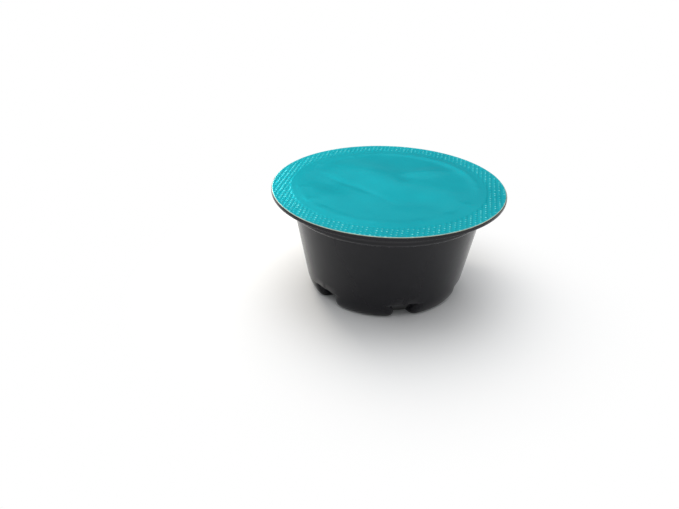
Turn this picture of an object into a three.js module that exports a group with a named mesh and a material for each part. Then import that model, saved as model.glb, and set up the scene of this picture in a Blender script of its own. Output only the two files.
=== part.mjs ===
// A coffee pod: a moulded cup with a wide flange and six pockets pressed into the edge of its
// base, the charge of ground coffee that fills it, and a foil lid sealed on the flange.
// Millimetres, +Z up. The origin is the middle of the base, on which the pod stands.
import * as THREE from 'three';

// Heights
const POD_HEIGHT = 21.4; // from the base to the top of the foil on the flange
const BAND_HEIGHT = 3.1; // from the flange down to the crease at the top of the wall
const SHOULDER_HEIGHT = 3.3; // from the base up to the straight wall
const HEADSPACE = 1.4; // from the coffee up to the top of the flange

// Radii and widths of the cup
const BASE_CORNER_RADIUS = 15.6; // where the line of the wall meets the plane of the base
const SHOULDER_WIDTH = 1.3; // from that corner in to the edge of the flat base
const WALL_TOP_RADIUS = 18.75;
const BAND_STEP = 1.15; // how far the band under the flange stands out from the wall
const FLANGE_WIDTH = 3.1;

// Thicknesses and edges
const WALL_THICKNESS = 0.7;
const FLOOR_THICKNESS = 0.7;
const FLANGE_THICKNESS = 0.7;
const STEP_ROUND = 0.9; // height of the rounded step between the band and the wall
const BAND_FILLET = 0.4; // in the corner of the band and the flange
const RIM_CHAMFER = 0.12;

// Pockets in the edge of the base
const POCKET_COUNT = 6;
const POCKET_BEARING = -90; // degrees from +X to the middle of the first pocket
const POCKET_NOTCH = 1.5; // how far each pocket cuts into the edge of the flat base
const POCKET_FOOT_DEPTH = 0.35; // how far its sloping floor lies inside the wall at the top
const POCKET_LEDGE = 0.3; // height of the ledge that closes it there
const POCKET_WIDTH_AT_BASE = 2.6;
const POCKET_WIDTH_AT_WALL = 6.2;
const POCKET_SIDE_LEAN = 0.4; // how far each side of a pocket leans out to the lobe beside it
const LOBE_ROUND = 1.4; // from that corner to where the lobe is plain again

// Foil lid
const FOIL_THICKNESS = 0.1;
const FOIL_MARGIN = 0.15; // from the cut edge of the foil out to the rim of the flange
const MEMBRANE_STEP = 0.2; // rise of the free foil at the inner edge of the seal
const MEMBRANE_STEP_WIDTH = 0.9;
const MEMBRANE_CROWN = 0.7; // further rise to the middle of the lid

// Coffee
const COFFEE_CLEARANCE = 0.3;

// How finely the round forms are divided
const POCKET_FLOOR_STEPS = 2;
const LOBE_ROUND_STEPS = 4;
const LOBE_STEPS = 3;
const SHOULDER_STEPS = 6;
const STEP_STEPS = 3;
const CROWN_STEPS = 4;
const LID_SIDES = 96;

// Places that follow from the sizes above
const FLANGE_TOP = POD_HEIGHT - FOIL_THICKNESS;
const FLANGE_UNDERSIDE = FLANGE_TOP - FLANGE_THICKNESS;
const CREASE_HEIGHT = FLANGE_UNDERSIDE - BAND_HEIGHT;
const BAND_RADIUS = WALL_TOP_RADIUS + BAND_STEP;
const FLANGE_RADIUS = BAND_RADIUS + FLANGE_WIDTH;
const MOUTH_RADIUS = BAND_RADIUS - WALL_THICKNESS;
const FOIL_RADIUS = FLANGE_RADIUS - FOIL_MARGIN;
const WALL_SLOPE = (WALL_TOP_RADIUS - BASE_CORNER_RADIUS) / CREASE_HEIGHT;
const HALF_SECTOR = Math.PI / POCKET_COUNT;

const { clamp, lerp, degToRad } = THREE.MathUtils;

// Radius of the straight wall at a height, moved in by an inset measured square to the wall.
function wallRadius(height, inset) {
  return BASE_CORNER_RADIUS + WALL_SLOPE * height - inset * Math.hypot(1, WALL_SLOPE);
}

// Distance from the axis to the sloping floor of a pocket, moved in by the same kind of inset.
function pocketDistance(height, inset) {
  const start = BASE_CORNER_RADIUS - SHOULDER_WIDTH - POCKET_NOTCH;
  const end = wallRadius(SHOULDER_HEIGHT, 0) - POCKET_FOOT_DEPTH;
  const slope = (end - start) / SHOULDER_HEIGHT;
  return start + slope * height - inset * Math.hypot(1, slope);
}

// Half the width of a pocket's floor: narrow at the base, flaring to the wall.
function pocketHalfWidth(height, inset) {
  const share = clamp(height / SHOULDER_HEIGHT, 0, 1);
  return lerp(POCKET_WIDTH_AT_BASE, POCKET_WIDTH_AT_WALL, share * share) / 2 + inset;
}

// Points from the middle of a pocket to the middle of the lobe beside it, as [out, across].
// Where no pocket is cut the same stops lie on the plain circle.
function halfSectorPoints(radius, height, inset, cut) {
  const halfWidth = pocketHalfWidth(height, inset);
  const floor = pocketDistance(height, inset);
  const circle = (across) => Math.sqrt(radius * radius - across * across);
  const points = [];
  for (let i = 0; i < POCKET_FLOOR_STEPS; i += 1) {
    const across = (halfWidth * i) / POCKET_FLOOR_STEPS;
    points.push([cut ? floor : circle(across), across]);
  }
  const corner = halfWidth + POCKET_SIDE_LEAN;
  const lobeEdge = corner + LOBE_ROUND;
  const side = new THREE.QuadraticBezierCurve(
    new THREE.Vector2(cut ? floor : circle(halfWidth), halfWidth),
    new THREE.Vector2(circle(corner), corner),
    new THREE.Vector2(circle(lobeEdge), lobeEdge),
  );
  for (const point of side.getPoints(LOBE_ROUND_STEPS)) {
    points.push(cut ? [point.x, point.y] : [circle(point.y), point.y]);
  }
  const lobeStart = Math.asin(lobeEdge / radius);
  for (let i = 1; i <= LOBE_STEPS; i += 1) {
    const angle = lerp(lobeStart, HALF_SECTOR, i / LOBE_STEPS);
    points.push([radius * Math.cos(angle), radius * Math.sin(angle)]);
  }
  return points;
}

// One closed ring of points round the axis at one height.
function ring(radius, height, inset = 0, cut = false) {
  const half = halfSectorPoints(radius, height, inset, cut);
  const mirrored = half.slice(1, -1).reverse().map(([out, across]) => [out, -across]);
  const sector = [...mirrored, ...half];
  const points = [];
  for (let i = 0; i < POCKET_COUNT; i += 1) {
    const turn = degToRad(POCKET_BEARING) + 2 * HALF_SECTOR * i;
    for (const [out, across] of sector) {
      const x = out * Math.cos(turn) - across * Math.sin(turn);
      const y = out * Math.sin(turn) + across * Math.cos(turn);
      points.push(new THREE.Vector3(x, y, height));
    }
  }
  return points;
}

// Rings from the edge of a floor up the rounded, pocketed shoulder to the plain wall.
function shoulderRings(floorHeight, inset) {
  const corner = new THREE.Vector2(wallRadius(floorHeight, inset), floorHeight);
  const floorEdge = corner.clone().setX(corner.x - SHOULDER_WIDTH);
  const wallFoot = new THREE.Vector2(wallRadius(SHOULDER_HEIGHT, inset), SHOULDER_HEIGHT);
  const curve = new THREE.QuadraticBezierCurve(floorEdge, corner, wallFoot);
  const rings = curve
    .getPoints(SHOULDER_STEPS)
    .map((point) => ring(point.x, point.y, inset, true));
  const ledgeTop = SHOULDER_HEIGHT + POCKET_LEDGE;
  rings.push(ring(wallRadius(ledgeTop, inset), ledgeTop, inset));
  return rings;
}

// Rings of the rounded step from the wall out to the band. Inside the cup it lies higher by the
// inset, so that the step is as thick as the wall.
function stepRings(inset) {
  const start = CREASE_HEIGHT + inset;
  const rings = [];
  for (let i = 0; i <= STEP_STEPS; i += 1) {
    const angle = (Math.PI / 2) * (i / STEP_STEPS);
    const out = lerp(wallRadius(start, inset), BAND_RADIUS - inset, Math.sin(angle));
    const up = start + STEP_ROUND * (1 - Math.cos(angle));
    rings.push(ring(out, up));
  }
  return rings;
}

// Rings of the flange, from the band over the rim to the mouth.
function flangeRings() {
  const filletMiddle = BAND_FILLET * (1 - Math.SQRT1_2);
  const sections = [
    [BAND_RADIUS, FLANGE_UNDERSIDE - BAND_FILLET],
    [BAND_RADIUS + filletMiddle, FLANGE_UNDERSIDE - filletMiddle],
    [BAND_RADIUS + BAND_FILLET, FLANGE_UNDERSIDE],
    [FLANGE_RADIUS - RIM_CHAMFER, FLANGE_UNDERSIDE],
    [FLANGE_RADIUS, FLANGE_UNDERSIDE + RIM_CHAMFER],
    [FLANGE_RADIUS, FLANGE_TOP - RIM_CHAMFER],
    [FLANGE_RADIUS - RIM_CHAMFER, FLANGE_TOP],
    [MOUTH_RADIUS, FLANGE_TOP],
  ];
  return sections.map(([radius, height]) => ring(radius, height));
}

// A closed surface over a stack of rings, from a point on the axis to another one.
function loft(firstHeight, rings, lastHeight) {
  const sides = rings[0].length;
  const positions = [0, 0, firstHeight];
  for (const points of rings) {
    for (const point of points) positions.push(point.x, point.y, point.z);
  }
  positions.push(0, 0, lastHeight);
  const lastPoint = rings.length * sides + 1;
  const vertex = (row, column) => 1 + row * sides + (column % sides);
  const triangles = [];
  for (let column = 0; column < sides; column += 1) {
    triangles.push(0, vertex(0, column + 1), vertex(0, column));
    for (let row = 0; row < rings.length - 1; row += 1) {
      const corners = [vertex(row, column), vertex(row, column + 1)];
      const above = [vertex(row + 1, column), vertex(row + 1, column + 1)];
      triangles.push(corners[0], corners[1], above[1]);
      triangles.push(corners[0], above[1], above[0]);
    }
    triangles.push(vertex(rings.length - 1, column), vertex(rings.length - 1, column + 1), lastPoint);
  }
  const geometry = new THREE.BufferGeometry();
  geometry.setAttribute('position', new THREE.Float32BufferAttribute(positions, 3));
  geometry.setIndex(triangles);
  geometry.computeVertexNormals();
  return geometry;
}

// The moulded cup: one thin wall, the same all over, open at the mouth.
function cupGeometry() {
  const outside = [...shoulderRings(0, 0), ...stepRings(0), ...flangeRings()];
  const inside = [...shoulderRings(FLOOR_THICKNESS, WALL_THICKNESS), ...stepRings(WALL_THICKNESS)];
  return loft(0, [...outside, ...inside.reverse()], FLOOR_THICKNESS);
}

// The coffee: it stands on the floor of the cup and fills it up to the headspace.
function coffeeGeometry() {
  const inset = WALL_THICKNESS + COFFEE_CLEARANCE;
  const top = FLANGE_TOP - HEADSPACE;
  const wallTop = Math.min(top, CREASE_HEIGHT);
  const rings = shoulderRings(FLOOR_THICKNESS, inset);
  rings.push(ring(wallRadius(wallTop, inset), wallTop, inset));
  if (top > wallTop) rings.push(ring(wallRadius(wallTop, inset), top, inset));
  return loft(FLOOR_THICKNESS, rings, top);
}

// Half section of the free foil, from the middle out to the inner edge of the seal.
function membraneProfile(lift) {
  const stepRadius = MOUTH_RADIUS - MEMBRANE_STEP_WIDTH;
  const points = [];
  for (let i = 0; i <= CROWN_STEPS; i += 1) {
    const share = i / CROWN_STEPS;
    const rise = MEMBRANE_STEP + MEMBRANE_CROWN * (1 - share * share);
    points.push(new THREE.Vector2(stepRadius * share, FLANGE_TOP + lift + rise));
  }
  points.push(new THREE.Vector2(MOUTH_RADIUS, FLANGE_TOP + lift));
  return points;
}

// The foil lid: a flat seal on the flange and a low crown over the mouth.
function lidGeometry() {
  const underside = membraneProfile(0);
  const topside = membraneProfile(FOIL_THICKNESS).reverse();
  const edge = [
    new THREE.Vector2(FOIL_RADIUS, FLANGE_TOP),
    new THREE.Vector2(FOIL_RADIUS, POD_HEIGHT),
  ];
  const geometry = new THREE.LatheGeometry([...underside, ...edge, ...topside], LID_SIDES);
  geometry.rotateX(Math.PI / 2);
  return geometry;
}

function namedMesh(name, geometry, material) {
  const mesh = new THREE.Mesh(geometry, new THREE.MeshStandardMaterial(material));
  mesh.name = name;
  return mesh;
}

const pod = new THREE.Group();
pod.add(namedMesh('cup', cupGeometry(), { color: 0x17161a, roughness: 0.3, metalness: 0 }));
pod.add(namedMesh('coffee', coffeeGeometry(), { color: 0x4a2f1d, roughness: 0.95, metalness: 0 }));
pod.add(namedMesh('lid_foil', lidGeometry(), { color: 0x1ba3b4, roughness: 0.35, metalness: 0.3 }));

export default pod;
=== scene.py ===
"""A coffee pod on a pale table: a black moulded cup with a teal foil lid."""
import math
import random

import bpy
import numpy as np
from mathutils import Matrix, Vector


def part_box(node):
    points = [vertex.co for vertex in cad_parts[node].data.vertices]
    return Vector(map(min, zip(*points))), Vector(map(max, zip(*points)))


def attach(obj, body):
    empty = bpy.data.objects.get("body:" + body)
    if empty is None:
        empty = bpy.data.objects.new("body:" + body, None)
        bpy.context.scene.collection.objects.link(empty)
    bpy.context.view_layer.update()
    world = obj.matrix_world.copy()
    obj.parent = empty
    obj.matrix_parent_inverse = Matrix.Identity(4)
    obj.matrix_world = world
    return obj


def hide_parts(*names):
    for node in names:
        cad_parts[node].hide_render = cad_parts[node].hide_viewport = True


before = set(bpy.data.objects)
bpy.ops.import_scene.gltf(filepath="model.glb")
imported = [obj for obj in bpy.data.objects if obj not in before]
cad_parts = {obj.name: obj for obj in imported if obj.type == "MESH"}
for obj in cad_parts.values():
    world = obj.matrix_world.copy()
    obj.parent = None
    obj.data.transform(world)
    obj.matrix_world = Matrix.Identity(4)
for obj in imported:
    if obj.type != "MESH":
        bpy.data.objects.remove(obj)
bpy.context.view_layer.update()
MM = 0.001

# Camera, in millimetres and degrees
CAMERA_PLACE = Vector((-30.3, -109.3, 68.3))
CAMERA_AIM = Vector((-9.1, 2.5, 4.9))
CAMERA_ROLL = 0.8
CAMERA_LENS = 32.6
CAMERA_NEAREST = 5
SENSOR_WIDTH = 36

# Stage, in millimetres. The table lies just under the base, so that the two faces don't flicker,
# and fades to plain white between two distances from the axis of the pod.
TABLE_GAP = 0.02
TABLE_RADIUS = 3000
TABLE_SIDES = 96
FADE_START = 18
FADE_END = 55

# Cup, in millimetres
FLANGE_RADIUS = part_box("cup")[1].x / MM
FLANGE_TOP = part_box("cup")[1].z / MM
FLANGE_THICKNESS = 0.7
FLANGE_WIDTH = 3.1
WALL_THICKNESS = 0.7
BAND_HEIGHT = 3.1
STEP_ROUND = 0.9
BAND_FILLET = 0.4
RIM_ROUND = 0.2
WALL_TOP_RADIUS = 18.75
BASE_CORNER_RADIUS = 15.6
SHOULDER_WIDTH = 1.3
SHOULDER_HEIGHT = 3.3
BAND_RADIUS = FLANGE_RADIUS - FLANGE_WIDTH
MOUTH_RADIUS = BAND_RADIUS - WALL_THICKNESS
FLANGE_UNDERSIDE = FLANGE_TOP - FLANGE_THICKNESS
CREASE_HEIGHT = FLANGE_UNDERSIDE - BAND_HEIGHT
WALL_SLOPE = (WALL_TOP_RADIUS - BASE_CORNER_RADIUS) / CREASE_HEIGHT

# A ring at this share of the way out to the edge of the base keeps its shading flat
BASE_FLAT_SHARE = 0.98

# Painted highlights: pale lines round the cup, on the step and in the middle of the band, in
# millimetres
PAINTED_HIGHLIGHT_REACH = 0.45
LOWER_HIGHLIGHT_HEIGHT = CREASE_HEIGHT + 0.45
UPPER_HIGHLIGHT_HEIGHT = FLANGE_UNDERSIDE - 1.6

# Pockets in the edge of the base, in millimetres
POCKET_COUNT = 6
POCKET_BEARING = math.radians(-90)
POCKET_NOTCH = 1.5
POCKET_FOOT_DEPTH = 0.35
POCKET_LEDGE = 0.3
POCKET_WIDTH_AT_BASE = 2.6
POCKET_WIDTH_AT_WALL = 6.2
POCKET_SIDE_LEAN = 0.4
POCKET_EDGE_ROUND = 0.4
POCKET_EDGE_HEIGHT = 0.14
LOBE_ROUND = 1.4
HALF_SECTOR = math.pi / POCKET_COUNT

# Gate mark in the middle of the base, in millimetres
GATE_RADIUS = 1.7
GATE_DEPTH = 0.15
GATE_BEVEL = 0.15
GATE_NUB_RADIUS = 0.4
GATE_NUB_HEIGHT = GATE_DEPTH / 3

# Faces lower than this, in millimetres, are grained where they lie within the flat of the base
GRAIN_TOP = 1.2 * GATE_DEPTH

# How finely the cup is divided
POCKET_FLOOR_STEPS = 4
POCKET_SIDE_STEPS = 12
LOBE_STEPS = 9
SHOULDER_STEPS = 26
WALL_STEPS = 8
ROUND_STEPS = 8

# Foil lid, in millimetres
FOIL_THICKNESS = 0.1
FOIL_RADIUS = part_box("lid_foil")[1].x / MM
FOIL_EDGE_WIDTH = 0.08
FOIL_FACE_RADIUS = FOIL_RADIUS - FOIL_EDGE_WIDTH
SEAL_INNER_RADIUS = 19.0
SEAL_TOP = FLANGE_TOP + FOIL_THICKNESS
BEAD_RADIUS = 17.4
BEAD_RISE = 0.24
BEAD_FULL_BEARING = math.radians(28)
BEAD_FULL_SPREAD = math.radians(34)
BEAD_LEAST = 0.2
BEAD_WIDTH = 0.9
CROWN_RADIUS = 17.0
CROWN_RISE = 0.4

# Square grid pressed into the seal, in millimetres. The depth less the rise is less than the
# thickness of the foil, so that the grooves stay above the flange.
KNURL_PITCH = 0.86
KNURL_DEPTH = 0.11
KNURL_RISE = 0.03
KNURL_TURN = math.radians(-22)
KNURL_FADE = 0.6

# Small creases that run in from the bead. Each strays from even spacing by up to a share of it,
# and its reach, its width (in millimetres) and its share of the full rise are drawn between ends.
PUCKER_COUNT = 17
PUCKER_STRAY = 0.35
PUCKER_RANGES = [(2.0, 5.5), (0.5, 1.1), (0.3, 1)]
PUCKER_RISE = 0.09
PUCKER_FADE_SHARE = 0.6
PUCKER_SEED = 4

# Place to the right and to the back, half length, half width, turn and rise of each low swell in
# the foil, in millimetres and radians. The swells fade out over a last stretch up to the bead.
FREE_FOIL_SWELLS = [
    (-2.0, 6.0, 8.0, 4.0, -0.99, 0.6),
    (-12.0, 3.0, 6.0, 3.0, -0.99, -0.36),
    (-7.5, 0.5, 8.0, 0.8, -0.99, -0.14),
    (9.0, 4.5, 4.5, 2.0, 0.25, 0.36),
    (4.0, 2.0, 2.5, 1.8, 0.9, -0.22),
    (1.0, -9.0, 7.0, 3.5, -0.15, -0.26),
    (10.0, -6.0, 4.0, 4.0, 0.8, 0.14),
    (8.8, -14.2, 1.8, 0.5, 0.1, -0.12),
    (-13.7, -8.5, 2.6, 0.5, -0.9, -0.12),
]
SWELL_FADE = 4

# How finely the lid is divided: the fine stops carry the knurl, the coarse ones the free foil
SEAL_STOPS = 1120
FREE_STOPS = SEAL_STOPS // 4
SEAL_STEPS = 33
SEAL_STEP_WIDTH = 0.2
BEAD_STEPS = 16
FREE_STEPS = 44

# Edges sharper than this are shaded as edges
SHARP_ANGLE = math.radians(40)

# Noise seldom leaves this range
NOISE_LOW = 0.3
NOISE_HIGH = 0.7


def smooth_step(low, high, value):
    """0 below low, 1 above high, and a smooth rise between them."""
    share = np.clip((value - low) / (high - low), 0, 1)
    return share * share * (3 - 2 * share)


def blend(start, end, share):
    return start + (end - start) * share


def curve_weights(share):
    """Weights of the start, corner and end of a quadratic curve at a share of its way."""
    return ((1 - share) ** 2, 2 * share * (1 - share), share * share)


def mesh_object(name, points, faces, materials):
    """A smooth mesh piece from points in millimetres, riding on the root."""
    mesh = bpy.data.meshes.new(name)
    mesh.from_pydata([tuple(p) for p in np.asarray(points) * MM], [], faces)
    mesh.validate()
    for material in materials:
        mesh.materials.append(material)
    mesh.polygons.foreach_set("use_smooth", [True] * len(mesh.polygons))
    mesh.set_sharp_from_angle(angle=SHARP_ANGLE)
    piece = bpy.data.objects.new(name, mesh)
    bpy.context.scene.collection.objects.link(piece)
    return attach(piece, "root")


# Form of the cup


def wall_radius(height, inset):
    """Radius of the straight wall, moved in by an inset square to it."""
    return BASE_CORNER_RADIUS + WALL_SLOPE * height - inset * math.hypot(1, WALL_SLOPE)


def pocket_distance(height, floor_height, inset):
    """Distance from the axis to the sloping floor of a pocket, rounded over into the base."""
    start = BASE_CORNER_RADIUS - SHOULDER_WIDTH - POCKET_NOTCH
    end = wall_radius(SHOULDER_HEIGHT, 0) - POCKET_FOOT_DEPTH
    slope = (end - start) / SHOULDER_HEIGHT
    rounding = POCKET_EDGE_ROUND * math.exp(-(height - floor_height) / POCKET_EDGE_HEIGHT)
    return start + slope * height - inset * math.hypot(1, slope) - rounding


def pocket_half_width(height, inset):
    share = min(max(height / SHOULDER_HEIGHT, 0), 1)
    return blend(POCKET_WIDTH_AT_BASE, POCKET_WIDTH_AT_WALL, share * share) / 2 + inset


def half_sector(radius, height, inset, floor_distance):
    """Points [out, across] from the middle of a pocket to the middle of the lobe beside it."""
    half_width = pocket_half_width(height, inset)
    corner = half_width + POCKET_SIDE_LEAN
    lobe_edge = corner + LOBE_ROUND

    def on_circle(across):
        return math.sqrt(radius * radius - across * across)

    points = []
    for i in range(POCKET_FLOOR_STEPS):
        across = half_width * i / POCKET_FLOOR_STEPS
        points.append((on_circle(across) if floor_distance is None else floor_distance, across))
    for i in range(POCKET_SIDE_STEPS + 1):
        weights = curve_weights(i / POCKET_SIDE_STEPS)
        across = float(np.dot(weights, (half_width, corner, lobe_edge)))
        if floor_distance is None:
            out = on_circle(across)
        else:
            outs = (floor_distance, on_circle(corner), on_circle(lobe_edge))
            out = float(np.dot(weights, outs))
        points.append((out, across))
    lobe_start = math.asin(lobe_edge / radius)
    for i in range(1, LOBE_STEPS + 1):
        angle = blend(lobe_start, HALF_SECTOR, i / LOBE_STEPS)
        points.append((radius * math.cos(angle), radius * math.sin(angle)))
    return points


def cup_ring(radius, height, inset=0.0, floor_distance=None):
    """One closed ring of points round the axis, with pockets if their floor's distance is given."""
    half = half_sector(radius, height, inset, floor_distance)
    mirrored = [(out, -across) for out, across in half[-2:0:-1]]
    sector = np.array(mirrored + half)
    parts = []
    for i in range(POCKET_COUNT):
        turn = POCKET_BEARING + 2 * HALF_SECTOR * i
        x = sector[:, 0] * math.cos(turn) - sector[:, 1] * math.sin(turn)
        y = sector[:, 0] * math.sin(turn) + sector[:, 1] * math.cos(turn)
        parts.append(np.column_stack((x, y, np.full(len(x), height))))
    return np.concatenate(parts)


def gate_rings(stops):
    """Rings of the shallow round recess in the base and of the small nub left in it."""
    profile = [
        (GATE_NUB_RADIUS, GATE_NUB_HEIGHT),
        (GATE_NUB_RADIUS + GATE_BEVEL, GATE_DEPTH),
        (GATE_RADIUS - GATE_BEVEL, GATE_DEPTH),
        (GATE_RADIUS, 0),
    ]
    start = POCKET_BEARING - HALF_SECTOR
    angles = start + 2 * math.pi * np.arange(1, stops + 1) / stops
    rings = []
    for radius, height in profile:
        x = radius * np.cos(angles)
        y = radius * np.sin(angles)
        rings.append(np.column_stack((x, y, np.full(stops, height))))
    return rings


def shoulder_rings(floor_height, inset):
    """Rings from the edge of a floor up the rounded, pocketed shoulder to the plain wall."""
    corner = wall_radius(floor_height, inset)
    foot = wall_radius(SHOULDER_HEIGHT, inset)
    rings = []
    for i in range(SHOULDER_STEPS + 1):
        share = i / SHOULDER_STEPS
        radius = float(np.dot(curve_weights(share), (corner - SHOULDER_WIDTH, corner, foot)))
        height = blend(floor_height, SHOULDER_HEIGHT, share * share)
        floor_distance = pocket_distance(height, floor_height, inset)
        rings.append(cup_ring(radius, height, inset, floor_distance))
    ledge_top = SHOULDER_HEIGHT + POCKET_LEDGE
    rings.append(cup_ring(wall_radius(ledge_top, inset), ledge_top, inset))
    return rings


def wall_rings(inset):
    """Rings of the plain wall between the shoulder and the step."""
    start = SHOULDER_HEIGHT + POCKET_LEDGE
    end = CREASE_HEIGHT + inset
    heights = [blend(start, end, i / WALL_STEPS) for i in range(1, WALL_STEPS)]
    return [cup_ring(wall_radius(height, inset), height) for height in heights]


def step_rings(inset):
    """Rings of the rounded step from the wall out to the band."""
    start = CREASE_HEIGHT + inset
    rings = []
    for i in range(ROUND_STEPS + 1):
        angle = math.pi / 2 * i / ROUND_STEPS
        out = blend(wall_radius(start, inset), BAND_RADIUS - inset, math.sin(angle))
        rings.append(cup_ring(out, start + STEP_ROUND * (1 - math.cos(angle))))
    return rings


def arc_rings(centre_radius, centre_height, size, first_angle, last_angle):
    """Rings along a round edge whose section is an arc, with its angles in degrees."""
    rings = []
    for i in range(ROUND_STEPS + 1):
        angle = math.radians(blend(first_angle, last_angle, i / ROUND_STEPS))
        radius = centre_radius + size * math.cos(angle)
        rings.append(cup_ring(radius, centre_height + size * math.sin(angle)))
    return rings


def flange_rings():
    """Rings of the flange, from the fillet under it over the rim to the mouth."""
    fillet_radius = BAND_RADIUS + BAND_FILLET
    fillet_height = FLANGE_UNDERSIDE - BAND_FILLET
    rim_radius = FLANGE_RADIUS - RIM_ROUND
    rings = arc_rings(fillet_radius, fillet_height, BAND_FILLET, 180, 90)
    rings += arc_rings(rim_radius, FLANGE_UNDERSIDE + RIM_ROUND, RIM_ROUND, -90, 0)
    rings += arc_rings(rim_radius, FLANGE_TOP - RIM_ROUND, RIM_ROUND, 0, 90)
    rings.append(cup_ring(MOUTH_RADIUS, FLANGE_TOP))
    return rings


def cup_rings():
    """All rings of the cup, from the middle of its base over the flange to its floor inside."""
    outside = shoulder_rings(0, 0) + wall_rings(0) + step_rings(0) + flange_rings()
    flat_edge = outside[0] * (BASE_FLAT_SHARE, BASE_FLAT_SHARE, 1)
    base = [*gate_rings(len(flat_edge)), flat_edge]
    inside = shoulder_rings(WALL_THICKNESS, WALL_THICKNESS)
    inside += wall_rings(WALL_THICKNESS) + step_rings(WALL_THICKNESS)
    return base + outside + inside[::-1]


def cup_faces(ring_count, stops):
    """Faces between rings of equal stops, with a middle point before them and one after."""
    last_ring = 1 + (ring_count - 1) * stops
    last_point = last_ring + stops
    faces = []
    for column in range(stops):
        beside = (column + 1) % stops
        faces.append((0, 1 + beside, 1 + column))
        for row in range(ring_count - 1):
            low = 1 + row * stops
            high = low + stops
            faces.append((low + column, low + beside, high + beside, high + column))
        faces.append((last_ring + column, last_ring + beside, last_point))
    return faces


def cup_piece(wall_material, base_material):
    """The moulded cup with its rounded edges, standing for the plainer one of the frame."""
    rings = cup_rings()
    points = np.concatenate([[(0, 0, GATE_NUB_HEIGHT)], *rings, [(0, 0, WALL_THICKNESS)]])
    faces = cup_faces(len(rings), len(rings[0]))
    cup = mesh_object("cup_shell", points, faces, [wall_material, base_material])
    base_radius = (BASE_CORNER_RADIUS - SHOULDER_WIDTH) * MM
    for polygon in cup.data.polygons:
        if polygon.center.xy.length < base_radius and polygon.center.z < GRAIN_TOP * MM:
            polygon.material_index = 1
    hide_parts("cup")


# Form of the lid


def knurl(x, y):
    """Depth of the square pressed grid below its raised pads, from 0 to 1."""
    across = x * math.cos(KNURL_TURN) + y * math.sin(KNURL_TURN)
    along = y * math.cos(KNURL_TURN) - x * math.sin(KNURL_TURN)
    wave = 2 * math.pi / KNURL_PITCH
    pads = (0.5 + 0.5 * np.cos(wave * across)) * (0.5 + 0.5 * np.cos(wave * along))
    return 1 - pads


def bead_height(x, y):
    """Height of the raised bead inside the seal, which is fullest at one bearing."""
    off = np.arctan2(y, x) - BEAD_FULL_BEARING
    off = np.arctan2(np.sin(off), np.cos(off))
    fullness = blend(BEAD_LEAST, 1, np.exp(-((off / BEAD_FULL_SPREAD) ** 2)))
    away = (np.hypot(x, y) - BEAD_RADIUS) / BEAD_WIDTH
    return BEAD_RISE * fullness * np.exp(-(away**2))


def swell_height(x, y, right, back, length, width, turn, rise):
    """Height of one long, low swell, or depth where its rise is negative."""
    along = (x - right) * math.cos(turn) + (y - back) * math.sin(turn)
    aside = (y - back) * math.cos(turn) - (x - right) * math.sin(turn)
    return rise * np.exp(-((along / length) ** 2) - (aside / width) ** 2)


def puckers():
    """Bearing, reach, width and share of the full rise of each small crease."""
    pick = random.Random(PUCKER_SEED)
    rows = []
    for i in range(PUCKER_COUNT):
        stray = pick.uniform(-PUCKER_STRAY, PUCKER_STRAY)
        bearing = 2 * math.pi * (i + stray) / PUCKER_COUNT
        reach, width, share = [pick.uniform(*ends) for ends in PUCKER_RANGES]
        rows.append((bearing, reach, width, share))
    return rows


def pucker_height(x, y, bearing, reach, width, share):
    """Height of one small crease, which fades in over its reach and out at the bead."""
    out = x * math.cos(bearing) + y * math.sin(bearing)
    across = y * math.cos(bearing) - x * math.sin(bearing)
    start = BEAD_RADIUS + BEAD_WIDTH - reach
    along = smooth_step(start, start + reach * PUCKER_FADE_SHARE, out)
    along *= 1 - smooth_step(BEAD_RADIUS, BEAD_RADIUS + BEAD_WIDTH, out)
    return PUCKER_RISE * share * along * np.exp(-((across / width) ** 2))


def free_foil_height(x, y):
    """Height of the foil over the mouth above the seal."""
    radius = np.hypot(x, y)
    height = CROWN_RISE * (1 - smooth_step(0, CROWN_RADIUS, radius))
    height += bead_height(x, y)
    within = 1 - smooth_step(BEAD_RADIUS - SWELL_FADE, BEAD_RADIUS, radius)
    for swell in FREE_FOIL_SWELLS:
        height += swell_height(x, y, *swell) * within
    for pucker in puckers():
        height += pucker_height(x, y, *pucker)
    return height


def foil_top(x, y):
    """Height of the upper face of the foil."""
    radius = np.hypot(x, y)
    outer = 1 - smooth_step(FOIL_FACE_RADIUS - KNURL_FADE, FOIL_FACE_RADIUS, radius)
    inner = smooth_step(SEAL_INNER_RADIUS, SEAL_INNER_RADIUS + KNURL_FADE, radius)
    relief = (KNURL_RISE - KNURL_DEPTH * knurl(x, y)) * outer * inner
    return SEAL_TOP + relief + free_foil_height(x, y)


def foil_ring(radius, stops, height=None):
    """A ring of the foil: on its upper face, or flat at a height."""
    angles = np.linspace(0, 2 * math.pi, stops, endpoint=False)
    x = radius * np.cos(angles)
    y = radius * np.sin(angles)
    z = foil_top(x, y) if height is None else np.full(stops, height)
    return np.column_stack((x, y, z))


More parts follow.
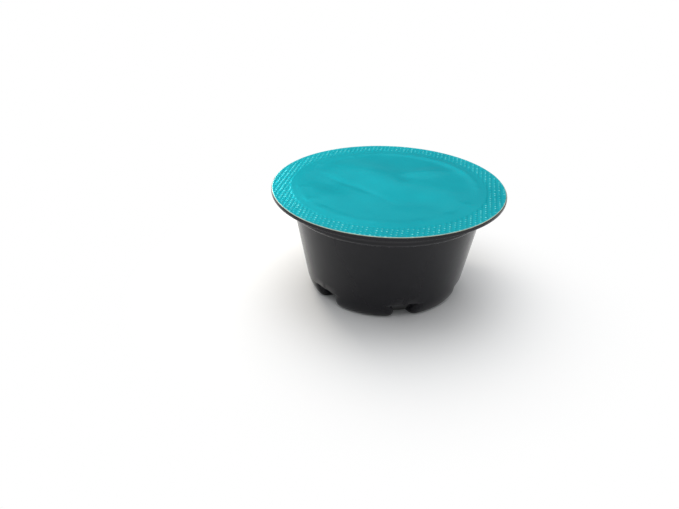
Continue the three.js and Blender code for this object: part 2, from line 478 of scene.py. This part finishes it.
def lid_rings():
    """Rings of the foil, from the middle of its under face round its edge to the middle on top."""
    seal_radii = np.linspace(FOIL_FACE_RADIUS, SEAL_INNER_RADIUS, SEAL_STEPS)
    bead_start = SEAL_INNER_RADIUS - SEAL_STEP_WIDTH
    bead_radii = np.linspace(bead_start, BEAD_RADIUS - 2 * BEAD_WIDTH, BEAD_STEPS)
    free_radii = np.linspace(bead_radii[-1], 0, FREE_STEPS + 1)[1:-1]
    seal = [foil_ring(radius, SEAL_STOPS) for radius in seal_radii]
    free = [foil_ring(radius, FREE_STOPS) for radius in [*bead_radii, *free_radii]]
    under = [ring - (0, 0, FOIL_THICKNESS) for ring in free[::-1]]
    edge = [
        foil_ring(SEAL_INNER_RADIUS, SEAL_STOPS, FLANGE_TOP),
        foil_ring(FOIL_RADIUS, SEAL_STOPS, FLANGE_TOP),
        foil_ring(FOIL_RADIUS, SEAL_STOPS, SEAL_TOP - FOIL_THICKNESS / 2),
    ]
    return under + edge + seal + free


def ring_faces(first, first_stops, second, second_stops):
    """Faces between two rings, where the first has the second's stops or some times as many."""
    ratio = first_stops // second_stops
    faces = []
    for column in range(second_stops):
        outer = [first + (column * ratio + i) % first_stops for i in range(ratio + 1)]
        inner = [second + (column + 1) % second_stops, second + column]
        faces.append(tuple(outer + inner))
    return faces


def lid_faces(rings):
    """Faces between the rings, with a middle point on top after them and then one under it."""
    stops = [len(ring) for ring in rings]
    starts = [sum(stops[:i]) for i in range(len(stops) + 1)]
    faces = []
    for i in range(len(rings) - 1):
        here = (starts[i], stops[i])
        following = (starts[i + 1], stops[i + 1])
        if stops[i] >= stops[i + 1]:
            faces += ring_faces(*here, *following)
        else:
            faces += [face[::-1] for face in ring_faces(*following, *here)]
    last_ring, top_centre = starts[-2:]
    under_centre = top_centre + 1
    for column in range(FREE_STOPS):
        beside = (column + 1) % FREE_STOPS
        faces.append((column, under_centre, beside))
        faces.append((last_ring + column, last_ring + beside, top_centre))
    return faces


def lid_piece(foil_material, edge_material):
    """The foil lid: a knurled seal, a soft bead and the slightly crowned, puckered free foil."""
    rings = lid_rings()
    crown = foil_top(0.0, 0.0)
    points = np.concatenate([*rings, [(0, 0, crown), (0, 0, crown - FOIL_THICKNESS)]])
    lid = mesh_object("lid_membrane", points, lid_faces(rings), [foil_material, edge_material])
    for polygon in lid.data.polygons:
        if polygon.center.xy.length > FOIL_FACE_RADIUS * MM:
            polygon.material_index = 1
    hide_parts("lid_foil")


# Materials


class Graph:
    """A node tree that ends in an output, and short ways to add nodes to it."""

    def __init__(self, tree, output):
        self.tree = tree
        self.output = tree.nodes[output]

    def set_sockets(self, node, values):
        """Set a node's sockets by name, where _ stands for a space."""
        for socket, value in values.items():
            node.inputs[socket.replace("_", " ")].default_value = value

    def node(self, kind, **values):
        node = self.tree.nodes.new(kind)
        self.set_sockets(node, values)
        return node

    def link(self, source, target):
        self.tree.links.new(source, target)

    def maths(self, operation, first, second=None):
        """The result of an operation on an output and, if given, a number or another output."""
        node = self.node("ShaderNodeMath")
        node.operation = operation
        self.link(first, node.inputs[0])
        if isinstance(second, bpy.types.NodeSocket):
            self.link(second, node.inputs[1])
        elif second is not None:
            node.inputs[1].default_value = second
        return node.outputs["Value"]

    def seen_directly(self):
        """1 for camera rays and for mirrored and passing rays, so that gloss shows the backdrop."""
        path = self.node("ShaderNodeLightPath")
        result = path.outputs["Is Camera Ray"]
        for name in ("Is Glossy Ray", "Is Transmission Ray"):
            result = self.maths("MAXIMUM", result, path.outputs[name])
        return result

    def show(self, first, second, factor):
        """Show the first shader where the factor is 0 and the second where it is 1."""
        mix = self.node("ShaderNodeMixShader")
        self.link(factor, mix.inputs["Fac"])
        self.link(first, mix.inputs[1])
        self.link(second, mix.inputs[2])
        self.link(mix.outputs["Shader"], self.output.inputs["Surface"])


class Surface(Graph):
    """A principled material and short ways to build its colour, roughness and relief."""

    def __init__(self, name, **values):
        self.material = bpy.data.materials.new(name)
        self.material.use_nodes = True
        super().__init__(self.material.node_tree, "Material Output")
        self.shader = self.tree.nodes["Principled BSDF"]
        self.set_sockets(self.shader, values)
        self.place = self.node("ShaderNodeTexCoord").outputs["Object"]

    def noise(self, size, detail=3.0, roughness=0.5, stretch=(1, 1, 1)):
        """Noise whose blotches are about size millimetres across."""
        mapping = self.node("ShaderNodeMapping", Scale=stretch)
        scale = 1 / (size * MM)
        texture = self.node("ShaderNodeTexNoise", Scale=scale, Detail=detail, Roughness=roughness)
        self.link(self.place, mapping.inputs["Vector"])
        self.link(mapping.outputs["Vector"], texture.inputs["Vector"])
        return texture.outputs["Fac"]

    def ramp(self, factor, low, high, start=NOISE_LOW, end=NOISE_HIGH):
        """A colour that goes from low to high as the factor goes from start to end."""
        ramp = self.node("ShaderNodeValToRGB")
        ramp.color_ramp.elements[0].position = start
        ramp.color_ramp.elements[1].position = end
        ramp.color_ramp.elements[0].color = (*low, 1)
        ramp.color_ramp.elements[1].color = (*high, 1)
        self.link(factor, ramp.inputs["Fac"])
        return ramp.outputs["Color"]

    def range(self, factor, low, high, start=NOISE_LOW, end=NOISE_HIGH, smooth=False):
        """A number that goes from low to high as the factor goes from start to end."""
        ends = {"From_Min": start, "From_Max": end, "To_Min": low, "To_Max": high}
        node = self.node("ShaderNodeMapRange", **ends)
        node.interpolation_type = "SMOOTHSTEP" if smooth else "LINEAR"
        self.link(factor, node.inputs["Value"])
        return node.outputs["Result"]

    def height(self):
        """Height above the base in metres."""
        parts = self.node("ShaderNodeSeparateXYZ")
        self.link(self.place, parts.inputs["Vector"])
        return parts.outputs["Z"]

    def radius(self):
        """Distance from the axis in metres."""
        flat = self.node("ShaderNodeVectorMath")
        flat.operation = "MULTIPLY"
        flat.inputs[1].default_value = (1, 1, 0)
        length = self.node("ShaderNodeVectorMath")
        length.operation = "LENGTH"
        self.link(self.place, flat.inputs[0])
        self.link(flat.outputs["Vector"], length.inputs[0])
        return length.outputs["Value"]

    def level(self, height, reach):
        """1 at a height in millimetres, falling smoothly to 0 at a reach above and below it."""
        away = self.maths("ABSOLUTE", self.maths("SUBTRACT", self.height(), height * MM))
        return self.range(away, 1, 0, 0, reach * MM, smooth=True)

    def pad_top_glints(self):
        """1 on the tops of the knurled pads of the seal, where glints are painted, and 0 elsewhere.
        """
        low = SEAL_TOP - KNURL_RISE / 2
        high = SEAL_TOP + KNURL_RISE
        raised = self.range(self.height(), 0, 1, low * MM, high * MM)
        inner = SEAL_INNER_RADIUS + KNURL_FADE
        outer = SEAL_INNER_RADIUS + 1.5 * KNURL_FADE
        within = self.range(self.radius(), 0, 1, inner * MM, outer * MM)
        return self.maths("MULTIPLY", raised, within)

    def mix(self, first, second, factor):
        """The first colour where the factor is 0 and the second where it is 1."""
        node = self.node("ShaderNodeMix")
        node.data_type = "RGBA"
        self.link(factor, node.inputs["Factor"])
        self.link(first, node.inputs["A"])
        self.link(second, node.inputs["B"])
        return node.outputs["Result"]

    def bump(self, factor, depth, under=None):
        """Relief of a depth in millimetres, on top of another bump if one is given."""
        node = self.node("ShaderNodeBump", Distance=depth * MM)
        self.link(factor, node.inputs["Height"])
        if under is not None:
            self.link(under, node.inputs["Normal"])
        return node.outputs["Normal"]

    def finish(self, colour, roughness, normal):
        self.link(colour, self.shader.inputs["Base Color"])
        self.link(roughness, self.shader.inputs["Roughness"])
        self.link(normal, self.shader.inputs["Normal"])
        return self.material


def gloss_plastic():
    """Black plastic with a soft gloss, faint clouds, a fine peel and two painted highlights, pale
    lines round it.
    """
    surface = Surface("black_gloss_plastic", Specular_IOR_Level=0.24)
    clouds = surface.ramp(surface.noise(5), (0.0082, 0.0082, 0.0105), (0.012, 0.0115, 0.0145))
    # Painted highlight: a paler colour laid in two lines round the cup, on the step and in the band
    pale = surface.ramp(surface.noise(4), (0.03, 0.03, 0.033), (0.044, 0.044, 0.048))
    colour = clouds
    for line in (LOWER_HIGHLIGHT_HEIGHT, UPPER_HIGHLIGHT_HEIGHT):
        colour = surface.mix(colour, pale, surface.level(line, PAINTED_HIGHLIGHT_REACH))
    roughness = surface.range(surface.noise(1.6), 0.17, 0.25)
    peel = surface.bump(surface.noise(0.9, detail=2), 0.006)
    return surface.finish(colour, roughness, surface.bump(surface.noise(0.12), 0.002, under=peel))


def grained_plastic():
    """The base: the same plastic with a fine leathery grain, coloured lighter and browner as a
    painted reflection.
    """
    surface = Surface("black_grained_plastic", Specular_IOR_Level=0.4)
    # Painted reflection: lighter and browner than the wall's colour; the noise varies the tone at
    # random
    colour = surface.ramp(surface.noise(3), (0.013, 0.0125, 0.0125), (0.019, 0.018, 0.0175))
    roughness = surface.range(surface.noise(0.5), 0.3, 0.42)
    wrinkles = surface.noise(0.9, detail=5, roughness=0.62, stretch=(0.45, 1, 1))
    grain = surface.bump(wrinkles, 0.12)
    return surface.finish(colour, roughness, surface.bump(surface.noise(0.15), 0.01, under=grain))


def teal_foil():
    """Lacquered aluminium foil, with painted glints: paler on the tops of the pressed pads."""
    surface = Surface(
        "teal_lacquered_foil",
        Metallic=0.3,
        Specular_IOR_Level=0,
        Specular_Tint=(0.05, 0.8, 0.95, 1),
        Coat_Weight=0.06,
        Coat_Roughness=0.14,
    )
    ink = surface.ramp(surface.noise(9, detail=2), (0.003, 0.252, 0.294), (0.006, 0.284, 0.326))
    # Painted glints: a paler, whiter teal on the tops of the pressed pads
    pale = surface.ramp(surface.noise(1.2), (0.01, 0.33, 0.37), (0.34, 0.85, 0.8), 0.4, 0.66)
    colour = surface.mix(ink, pale, surface.pad_top_glints())
    roughness = surface.range(surface.noise(2.5), 0.29, 0.35)
    return surface.finish(colour, roughness, surface.bump(surface.noise(1.2, detail=2), 0.006))


def cut_foil():
    """The pale edge where the foil laminate is cut."""
    surface = Surface("cut_foil_edge")
    colour = surface.ramp(surface.noise(0.8), (0.36, 0.40, 0.30), (0.52, 0.55, 0.42))
    roughness = surface.range(surface.noise(0.4), 0.4, 0.6)
    return surface.finish(colour, roughness, surface.bump(surface.noise(0.2), 0.01))


def ground_coffee():
    """Dark, coarse grounds."""
    surface = Surface("ground_coffee")
    colour = surface.ramp(surface.noise(0.5, detail=6), (0.012, 0.006, 0.003), (0.09, 0.045, 0.02))
    roughness = surface.range(surface.noise(0.6), 0.8, 0.95)
    return surface.finish(colour, roughness, surface.bump(surface.noise(0.4, detail=6), 0.3))


def coffee_piece(material):
    """The coffee of the frame, kept as it is, with a material of its own."""
    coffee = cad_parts["coffee"]
    coffee.data.materials.clear()
    coffee.data.materials.append(material)


# Stage


def table_top():
    """The pale surface, which fades to plain white away from the pod."""
    surface = Surface("table_top", Base_Color=(0.9, 0.9, 0.9, 1), Roughness=0.7)
    white = surface.node("ShaderNodeEmission")
    fade = surface.range(surface.radius(), 0, 1, FADE_START * MM, FADE_END * MM, smooth=True)
    white_share = surface.maths("MULTIPLY", fade, surface.seen_directly())
    surface.show(surface.shader.outputs["BSDF"], white.outputs["Emission"], white_share)
    place = (0, 0, -TABLE_GAP * MM)
    bpy.ops.mesh.primitive_circle_add(
        vertices=TABLE_SIDES, radius=TABLE_RADIUS * MM, fill_type="NGON", location=place
    )
    table = bpy.context.object
    table.name = "table_top"
    table.data.materials.append(surface.material)


def surroundings():
    """A soft grey room that shows as plain white."""
    world = bpy.data.worlds.new("room")
    bpy.context.scene.world = world
    world.use_nodes = True
    graph = Graph(world.node_tree, "World Output")
    room = world.node_tree.nodes["Background"]
    graph.set_sockets(room, {"Color": (0.95, 0.98, 1.0, 1), "Strength": 0.34})
    white = graph.node("ShaderNodeBackground", Color=(1, 1, 1, 1))
    graph.show(room.outputs["Background"], white.outputs["Background"], graph.seen_directly())


def area_light(name, place, aim, size, power, colour=(1, 1, 1)):
    """A soft oblong lamp of a size at a place, facing an aim, in millimetres and watts."""
    data = bpy.data.lights.new(name, "AREA")
    data.shape = "RECTANGLE"
    data.size = size[0] * MM
    data.size_y = size[1] * MM
    data.energy = power
    data.color = colour
    lamp = bpy.data.objects.new(name, data)
    lamp.location = Vector(place) * MM
    lamp.rotation_euler = (Vector(aim) - Vector(place)).to_track_quat("-Z", "Y").to_euler()
    lamp.visible_camera = False
    bpy.context.scene.collection.objects.link(lamp)


def lights():
    area_light("lamp_above", (-20, 30, 260), (0, 0, 10), (420, 420), 0.8)
    area_light("lamp_right", (240, -100, 110), (0, 0, 12), (120, 200), 0.05)
    area_light("lamp_back", (39, 203, 161), (0, 0, 21), (220, 100), 0.085)
    area_light("lamp_left", (-34, 62, 46), (-22, 4, 21), (26, 30), 0.026, (1, 0.93, 0.82))


def camera():
    data = bpy.data.cameras.new("camera")
    data.sensor_width = SENSOR_WIDTH
    data.lens = CAMERA_LENS
    data.clip_start = CAMERA_NEAREST * MM
    view = bpy.data.objects.new("camera", data)
    turn = (CAMERA_AIM - CAMERA_PLACE).to_track_quat("-Z", "Y").to_matrix().to_4x4()
    roll = Matrix.Rotation(math.radians(CAMERA_ROLL), 4, "Z")
    view.matrix_world = Matrix.Translation(CAMERA_PLACE * MM) @ turn @ roll
    bpy.context.scene.collection.objects.link(view)
    bpy.context.scene.camera = view


camera()
cup_piece(gloss_plastic(), grained_plastic())
lid_piece(teal_foil(), cut_foil())
coffee_piece(ground_coffee())
table_top()
surroundings()
lights()
bpy.context.scene.view_settings.view_transform = "Standard"
